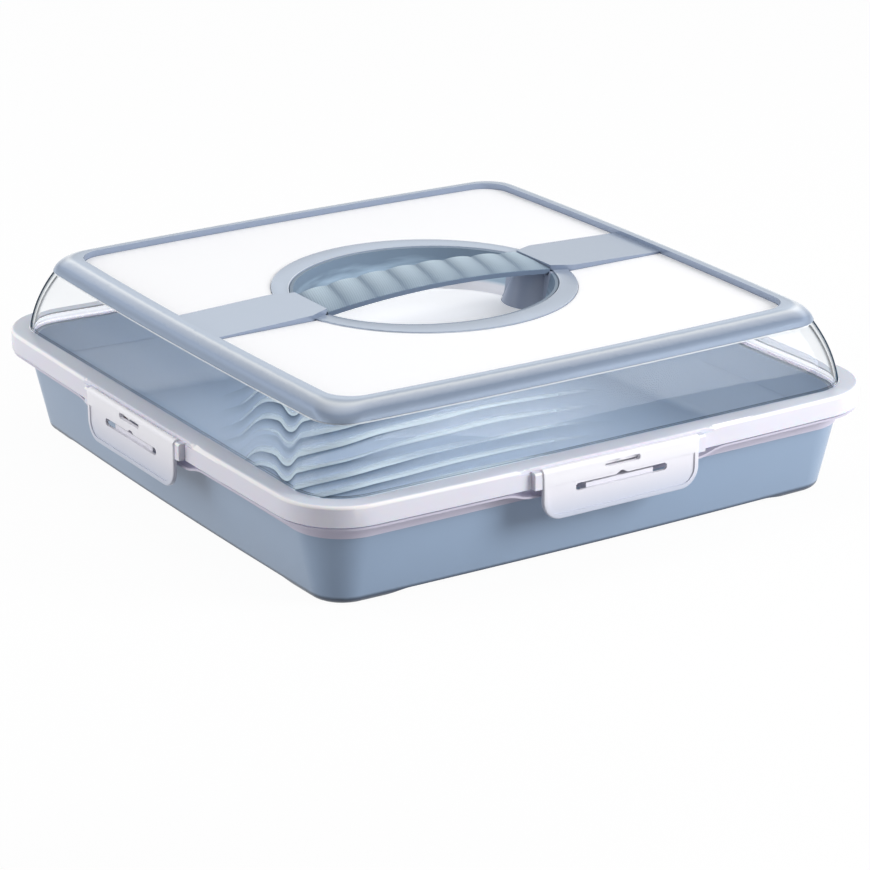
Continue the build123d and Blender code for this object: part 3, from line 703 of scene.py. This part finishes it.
# 1 for these kinds of ray, unless the light path has already met a matt surface
def eyeRays(tree, *kinds):
    ray = addNode(tree, "LightPath")
    chosen = ray.outputs[kinds[0]]
    for kind in kinds[1:]:
        chosen = addNode(tree, "Math", {"operation": "MAXIMUM"},
                         {0: chosen, 1: ray.outputs[kind]}).outputs[0]
    early = addNode(tree, "Math", {"operation": "LESS_THAN", 1: 0.5},
                    {0: ray.outputs["Diffuse Depth"]})
    return addNode(tree, "Math", {"operation": "MULTIPLY"},
                   {0: chosen, 1: early.outputs[0]}).outputs[0]


def addCard(name, size, material, place=Matrix()):
    form = bmesh.new()
    bmesh.ops.create_grid(form, x_segments=1, y_segments=1, size=size)
    bmesh.ops.transform(form, matrix=place, verts=form.verts)
    mesh = bpy.data.meshes.new(name)
    form.to_mesh(mesh)
    form.free()
    mesh.materials.append(material)
    card = bpy.data.objects.new(name, mesh)
    bpy.context.scene.collection.objects.link(card)
    return card


def addFloor():
    material, tree = newMaterial("paleStudioFloor")
    painted = addNode(tree, "BsdfDiffuse", {"Color": toLinear(studio["floorColor"])})
    glow = addNode(tree, "Emission", {"Color": (1, 1, 1, 1), "Strength": 1.0})
    seen = addNode(tree, "MixShader", {0: studio["floorGlow"]},
                   {1: painted.outputs["BSDF"], 2: glow.outputs["Emission"]})
    bounce = addNode(tree, "BsdfDiffuse", {"Color": toLinear(studio["bounceColor"])})
    direct = eyeRays(tree, "Is Camera Ray", "Is Transmission Ray", "Is Glossy Ray")
    both = addNode(tree, "MixShader", links={0: direct, 1: bounce.outputs["BSDF"],
                                             2: seen.outputs["Shader"]})
    addNode(tree, "OutputMaterial", links={"Surface": both.outputs["Shader"]})
    addCard("paleFloor", studio["floorSize"], material)


# Brightness of the sky in reflections, by the height of the direction looked in
skyBands = {"places": (0.03, 0.14, 0.24, 0.35, 0.44, 0.56, 0.8, 0.97),
            "tones": (0.65, 0.4, 0.36, 0.66, 0.8, 0.38, 0.3, 0.45),
            "cast": (0.97, 0.99, 1.0), "strength": 1.6}


def addSky():
    world = bpy.data.worlds.new("studioSky")
    world.use_nodes = True
    tree = world.node_tree
    tree.nodes.clear()
    soft = addNode(tree, "Background", {"Color": (1, 1, 1, 1), "Strength": studio["skyLight"]})
    white = addNode(tree, "Background", {"Color": (1, 1, 1, 1), "Strength": 1.0})
    heading = addNode(tree, "TexCoord").outputs["Generated"]
    height = addNode(tree, "SeparateXYZ", links={"Vector": heading}).outputs["Z"]
    bands = addNode(tree, "ValToRGB", links={"Fac": height})
    elements = bands.color_ramp.elements
    for place, tone in zip(skyBands["places"], skyBands["tones"]):
        elements.new(place).color = (*[tone * share for share in skyBands["cast"]], 1)
    elements.remove(elements[0])
    elements.remove(elements[-1])
    glossy = addNode(tree, "Background", {"Strength": skyBands["strength"]},
                     {"Color": bands.outputs["Color"]})
    clear = eyeRays(tree, "Is Camera Ray", "Is Transmission Ray")
    seen = addNode(tree, "MixShader", links={0: clear, 1: soft.outputs["Background"],
                                             2: white.outputs["Background"]})
    mix = addNode(tree, "MixShader", links={0: eyeRays(tree, "Is Glossy Ray"),
                                            1: seen.outputs["Shader"],
                                            2: glossy.outputs["Background"]})
    addNode(tree, "OutputWorld", links={"Surface": mix.outputs["Shader"]})
    bpy.context.scene.world = world


# Soft boxes: metres and watts
lamps = {
    "leftLamp": {"at": (-1.9, 0.9, 1.0), "size": (1.8, 1.8), "power": 29},
    "rightLamp": {"at": (1.3, -1.5, 0.9), "size": (1.0, 1.0), "power": 43},
    "topLamp": {"at": (0.2, 0.2, 1.8), "size": (1.2, 1.2), "power": 7},
}


def addLamp(name, spec):
    light = bpy.data.lights.new(name, "AREA")
    light.shape = "RECTANGLE"
    light.size, light.size_y = spec["size"]
    light.energy = spec["power"]
    lamp = bpy.data.objects.new(name, light)
    lamp.location = spec["at"]
    lamp.visible_glossy = False
    toMiddle = Vector((0, 0, mm(studio["lampAim"]))) - Vector(spec["at"])
    lamp.rotation_euler = toMiddle.to_track_quat("-Z", "Y").to_euler()
    bpy.context.scene.collection.objects.link(lamp)


# Camera: degrees round and down, metres away, right and up, then millimetres
view = {"turn": -32.663, "down": 20.246, "away": 1.792, "right": 0.0058, "up": 0.0101,
        "lens": 132.41, "sensor": 36.0}


def addCamera():
    data = bpy.data.cameras.new("studioCamera")
    data.lens = view["lens"]
    data.sensor_width = view["sensor"]
    camera = bpy.data.objects.new("studioCamera", data)
    camera.rotation_euler = (math.radians(90 - view["down"]), 0, math.radians(view["turn"]))
    axes = camera.rotation_euler.to_matrix()
    camera.location = axes @ Vector((view["right"], view["up"], view["away"]))
    bpy.context.scene.collection.objects.link(camera)
    bpy.context.scene.camera = camera


# Dark card by the near corner: the eye doesn't see it, but it darkens the corner's rounding. It
# faces a point `aim` mm above the middle.
flag = {"at": (-0.33, -0.37, 0.12), "size": 0.34, "aim": 40, "color": "#15171B"}


def addFlag():
    material, tree = newMaterial("blackCard")
    matt = addNode(tree, "BsdfDiffuse", {"Color": toLinear(flag["color"])})
    addNode(tree, "OutputMaterial", links={"Surface": matt.outputs["BSDF"]})
    toMiddle = Vector((0, 0, mm(flag["aim"]))) - Vector(flag["at"])
    turn = toMiddle.to_track_quat("Z", "Y").to_matrix().to_4x4()
    card = addCard("blackCard", flag["size"] / 2, material,
                   Matrix.Translation(flag["at"]) @ turn)
    card.visible_camera = False
    card.visible_shadow = False
    card.visible_transmission = False


# Small lamp under the cover: it stands for the light that the clear walls let in
caseLamp = {"height": 70, "size": 0.3, "power": 0.31, "color": (1.0, 0.93, 0.85)}


def addCaseLamp():
    light = bpy.data.lights.new("caseLamp", "AREA")
    light.size = caseLamp["size"]
    light.energy = caseLamp["power"]
    light.color = caseLamp["color"]
    lamp = bpy.data.objects.new("caseLamp", light)
    lamp.location = (0, 0, mm(caseLamp["height"]))
    lamp.visible_camera = False
    lamp.visible_glossy = False
    lamp.visible_transmission = False
    bpy.context.scene.collection.objects.link(lamp)


addFloor()
addSky()
addFlag()
addCaseLamp()
for lampName, lampSpec in lamps.items():
    addLamp(lampName, lampSpec)
addCamera()
bpy.context.scene.view_settings.view_transform = "Standard"
